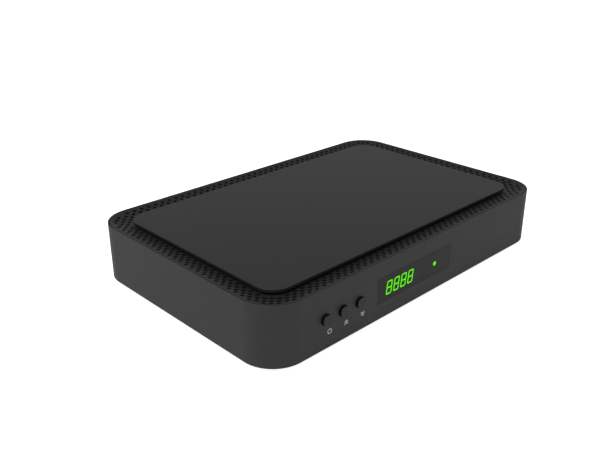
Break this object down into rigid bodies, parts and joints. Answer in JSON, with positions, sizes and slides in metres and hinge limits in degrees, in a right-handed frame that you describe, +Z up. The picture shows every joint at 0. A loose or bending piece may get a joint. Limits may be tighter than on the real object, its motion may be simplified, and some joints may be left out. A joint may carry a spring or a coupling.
{
  "type": "set-top video recorder",
  "caption": "Low rounded recorder box with a raised top plate in a ventilated dish, smoked display window, round front buttons, and boards, a disk drive and sockets inside.",
  "frame": {"origin": "under the middle of the whole envelope, on the plane that the feet stand on", "axes": "+X along the front to the right as seen from the front, +Y from the front to the back, +Z up"},
  "size_m": [0.24, 0.1666, 0.0378],
  "materials": {
    "case_plastic": "fine matte moulded texture",
    "plate_plastic": "satin, very fine texture",
    "window_acrylic": "smoked, smooth",
    "button_plastic": "matte moulded",
    "foot_rubber": "matte",
    "black_screw": "black zinc",
    "panel_paint": "black powder coat",
    "bright_steel": "zinc plated sheet and screws",
    "socket_plating": "nickel plate",
    "socket_plastic": "moulded",
    "circuit_board": "solder mask",
    "chip_resin": "moulding compound",
    "cast_aluminium": "satin",
    "thermal_silicone": "soft, matte",
    "ribbon_film": "smooth film",
    "lamp_resin": "glowing lens",
    "disk_mirror": "polished disk"
  },
  "bodies": {
    "chassis": {"case_base": "case_plastic", "top_cover": "case_plastic", "top_plate": "plate_plastic", "foot_1": "foot_rubber", "foot_2": "foot_rubber", "foot_3": "foot_rubber", "foot_4": "foot_rubber", "case_screw_1": "black_screw", "case_screw_2": "black_screw", "case_screw_3": "black_screw", "case_screw_4": "black_screw", "display_window": "window_acrylic", "digit_display": "socket_plastic", "status_led": "lamp_resin", "ir_receiver": "socket_plastic", "front_board": "circuit_board", "power_switch": "socket_plastic", "channel_up_switch": "socket_plastic", "channel_down_switch": "socket_plastic", "main_board": "circuit_board", "processor": "chip_resin", "thermal_pad": "thermal_silicone", "heat_sink": "cast_aluminium", "memory_chip_1": "chip_resin", "memory_chip_2": "chip_resin", "flash_chip": "chip_resin", "power_inductor": "chip_resin", "filter_capacitor_1": "cast_aluminium", "filter_capacitor_2": "cast_aluminium", "board_screw_1": "bright_steel", "board_screw_2": "bright_steel", "board_screw_3": "bright_steel", "board_screw_4": "bright_steel", "front_ribbon_cable": "ribbon_film", "rear_panel": "panel_paint", "dc_jack": "socket_plastic", "av_jack": "socket_plastic", "optical_audio_port": "socket_plastic", "hdmi_port": "socket_plating", "usb_port": "socket_plating", "ethernet_jack": "socket_plating", "tuner_can": "bright_steel", "antenna_in_socket": "socket_plating", "antenna_out_socket": "socket_plating", "drive_base": "cast_aluminium", "drive_lid": "bright_steel", "drive_board": "circuit_board", "drive_bracket": "bright_steel", "drive_screw_1": "bright_steel", "drive_screw_2": "bright_steel", "drive_screw_3": "bright_steel", "drive_screw_4": "bright_steel", "drive_cable": "socket_plastic"},
    "power_button": {"power_button": "button_plastic"},
    "channel_up_button": {"channel_up_button": "button_plastic"},
    "channel_down_button": {"channel_down_button": "button_plastic"},
    "spindle": {"spindle_hub": "cast_aluminium", "disk_platter": "disk_mirror"},
    "head_arm": {"head_arm": "cast_aluminium"},
    "optical_flap": {"optical_port_flap": "socket_plastic"}
  },
  "joints": [
    {"name": "power_press", "type": "slide", "parent": "chassis", "child": "power_button", "axis": [0, 1, 0], "range_m": [0, 0.0005], "stiffness_N_per_m": 400, "springref_m": -0.002},
    {"name": "channel_up_press", "type": "slide", "parent": "chassis", "child": "channel_up_button", "axis": [0, 1, 0], "range_m": [0, 0.0005], "stiffness_N_per_m": 400, "springref_m": -0.002},
    {"name": "channel_down_press", "type": "slide", "parent": "chassis", "child": "channel_down_button", "axis": [0, 1, 0], "range_m": [0, 0.0005], "stiffness_N_per_m": 400, "springref_m": -0.002},
    {"name": "platter_spin", "type": "hinge", "parent": "chassis", "child": "spindle", "pos_m": [-0.06557, -0.01808, 0.0125], "axis": [0, 0, 1], "continuous": true},
    {"name": "arm_swing", "type": "hinge", "parent": "chassis", "child": "head_arm", "pos_m": [-0.08198, 0.02693, 0.0125], "axis": [0, 0, -1], "range_deg": [0, 27]},
    {"name": "optical_flap_swing", "type": "hinge", "parent": "chassis", "child": "optical_flap", "pos_m": [0.0034, 0.07472, 0.01815], "axis": [-1, 0, 0], "range_deg": [0, 85], "stiffness_Nm_per_rad": 0.0005, "springref_deg": -17.19}
  ]
}
